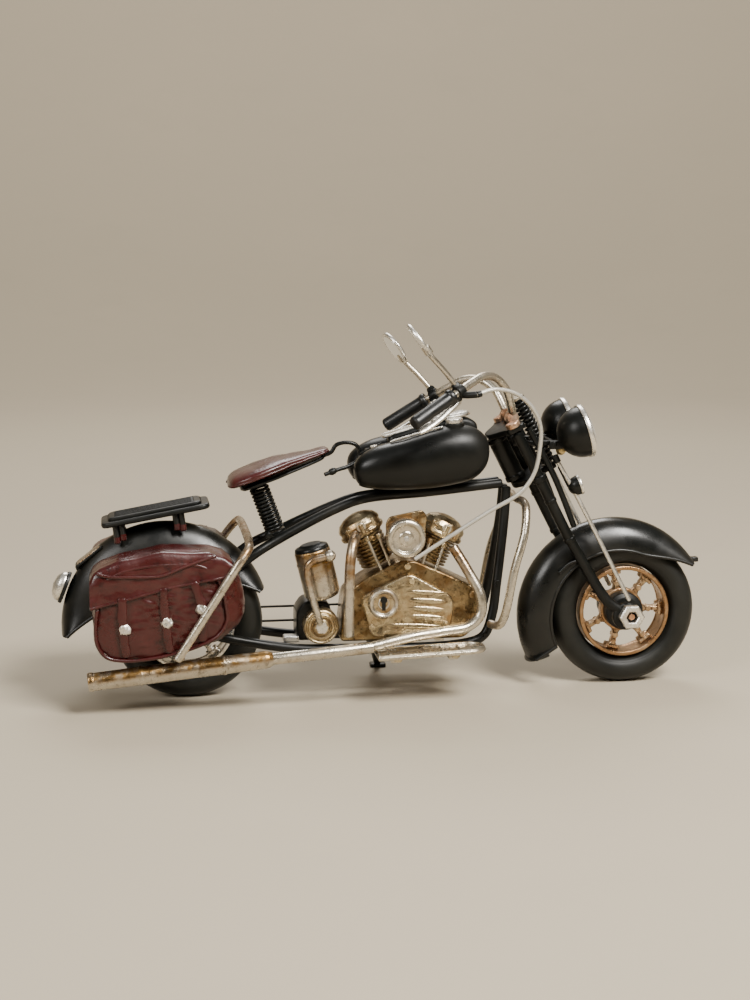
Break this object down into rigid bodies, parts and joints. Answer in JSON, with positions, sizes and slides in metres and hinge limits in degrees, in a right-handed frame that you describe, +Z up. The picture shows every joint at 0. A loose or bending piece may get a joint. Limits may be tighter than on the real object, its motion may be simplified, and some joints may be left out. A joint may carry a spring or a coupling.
{
  "type": "tin wind-up motorcycle",
  "caption": "Tin wind-up touring motorcycle: steering fork, spoked wheels, valanced fenders, V engine over a spring drive, saddlebags, rack, sprung saddle and kickstand.",
  "frame": {"origin": "on the ground under the rear axle, in the middle of the rear tread", "axes": "+X forward, towards the front wheel; +Y to the rider's left, the kickstand side; +Z up"},
  "size_m": [0.2039, 0.0644, 0.117],
  "materials": {
    "black_enamel": "satin black enamel, rubbed olive brown on the crowns",
    "antique_silver": "pale champagne silver with brown in the recesses",
    "cast_pewter": "champagne silver casting with brown patina",
    "maroon_paint": "maroon semi-gloss lacquer pressed like leather",
    "tyre_rubber": "matte black",
    "black_rubber": "matte black",
    "aged_bronze": "gold bronze wash over a dark ground",
    "aged_copper": "copper brown wash",
    "plated_steel": "bright zinc plate",
    "aged_brass": "plain brass",
    "spring_steel": "blued spring steel",
    "grey_cable": "silver grey lacquered wire"
  },
  "bodies": {
    "frame": {"upper_rail_left": "black_enamel", "upper_rail_right": "black_enamel", "cradle_left": "black_enamel", "cradle_right": "black_enamel", "head_tube": "black_enamel", "rear_axle": "antique_silver", "rear_fender": "black_enamel", "luggage_rack": "black_enamel", "tail_lamp": "antique_silver", "saddlebag_left": "maroon_paint", "saddlebag_right": "maroon_paint", "rear_guard": "antique_silver", "exhaust_front": "antique_silver", "exhaust_rear": "antique_silver", "crankcase": "cast_pewter", "timing_cover": "cast_pewter", "primary_cover": "black_enamel", "cylinder_rear": "cast_pewter", "cylinder_front": "cast_pewter", "rocker_cover_rear": "cast_pewter", "rocker_cover_front": "cast_pewter", "air_cleaner": "cast_pewter", "oil_tank": "cast_pewter", "gearbox": "cast_pewter", "footboard_left": "antique_silver", "footboard_right": "antique_silver", "front_guard": "antique_silver", "tank_left": "black_enamel", "tank_right": "black_enamel", "tank_console": "antique_silver", "drive_belt": "black_rubber", "throttle_cable": "grey_cable", "seat_spring": "black_enamel"},
    "steering": {"steering_stem": "black_enamel", "top_yoke": "aged_copper", "fork_spring": "black_enamel", "fork_leg_left": "black_enamel", "fork_leg_right": "black_enamel", "fork_rod_left": "antique_silver", "fork_rod_right": "antique_silver", "front_axle": "plated_steel", "front_fender": "black_enamel", "handlebar": "antique_silver", "grip_left": "black_rubber", "grip_right": "black_rubber", "mirror_left": "antique_silver", "mirror_right": "antique_silver", "headlight_left": "black_enamel", "headlight_right": "black_enamel"},
    "front_wheel": {"front_tyre": "tyre_rubber", "front_rim": "aged_bronze"},
    "rear_wheel": {"rear_tyre": "tyre_rubber", "rear_rim": "antique_silver"},
    "saddle": {"saddle_pad": "maroon_paint", "saddle_pan": "black_enamel"},
    "stand": {"kickstand": "black_enamel"},
    "clockwork": {"drive_gear": "aged_brass", "mainspring": "spring_steel"},
    "output": {"output_shaft": "plated_steel"},
    "arbor": {"winding_arbor": "plated_steel"}
  },
  "joints": [
    {"name": "steering", "type": "hinge", "parent": "frame", "child": "steering", "pos_m": [0.1004, 0, 0.0742], "axis": [-0.454, 0, 0.891], "range_deg": [-22, 22], "deforming": ["throttle_cable"]},
    {"name": "front_wheel_spin", "type": "hinge", "parent": "steering", "child": "front_wheel", "pos_m": [0.139, 0, 0.0235], "axis": [0, 1, 0], "continuous": true},
    {"name": "rear_wheel_spin", "type": "hinge", "parent": "frame", "child": "rear_wheel", "pos_m": [0, 0, 0.0235], "axis": [0, 1, 0], "continuous": true},
    {"name": "output_shaft_spin", "type": "hinge", "parent": "frame", "child": "output", "pos_m": [0.05303, 0, 0.02377], "axis": [0, 1, 0], "continuous": true},
    {"name": "drive_gear_spin", "type": "hinge", "parent": "frame", "child": "clockwork", "pos_m": [0.0599, 0, 0.0304], "axis": [0, 1, 0], "continuous": true},
    {"name": "winding", "type": "hinge", "parent": "clockwork", "child": "arbor", "pos_m": [0.0599, 0, 0.0304], "axis": [0, 1, 0], "range_deg": [0, 1080], "deforming": ["mainspring"]},
    {"name": "saddle_pivot", "type": "hinge", "parent": "frame", "child": "saddle", "pos_m": [0.0544, 0, 0.0758], "axis": [0, -1, 0], "range_deg": [0, 5], "stiffness_Nm_per_rad": 0.3, "springref_deg": -2.86, "deforming": ["seat_spring"]},
    {"name": "kickstand_fold", "type": "hinge", "parent": "frame", "child": "stand", "pos_m": [0.06, 0.0136, 0.0124], "axis": [0, 1, 0], "range_deg": [0, 75]}
  ],
  "couplings": [
    {"joint": "output_shaft_spin", "follows": "rear_wheel_spin", "ratio": 1},
    {"joint": "drive_gear_spin", "follows": "rear_wheel_spin", "ratio": -0.5}
  ]
}
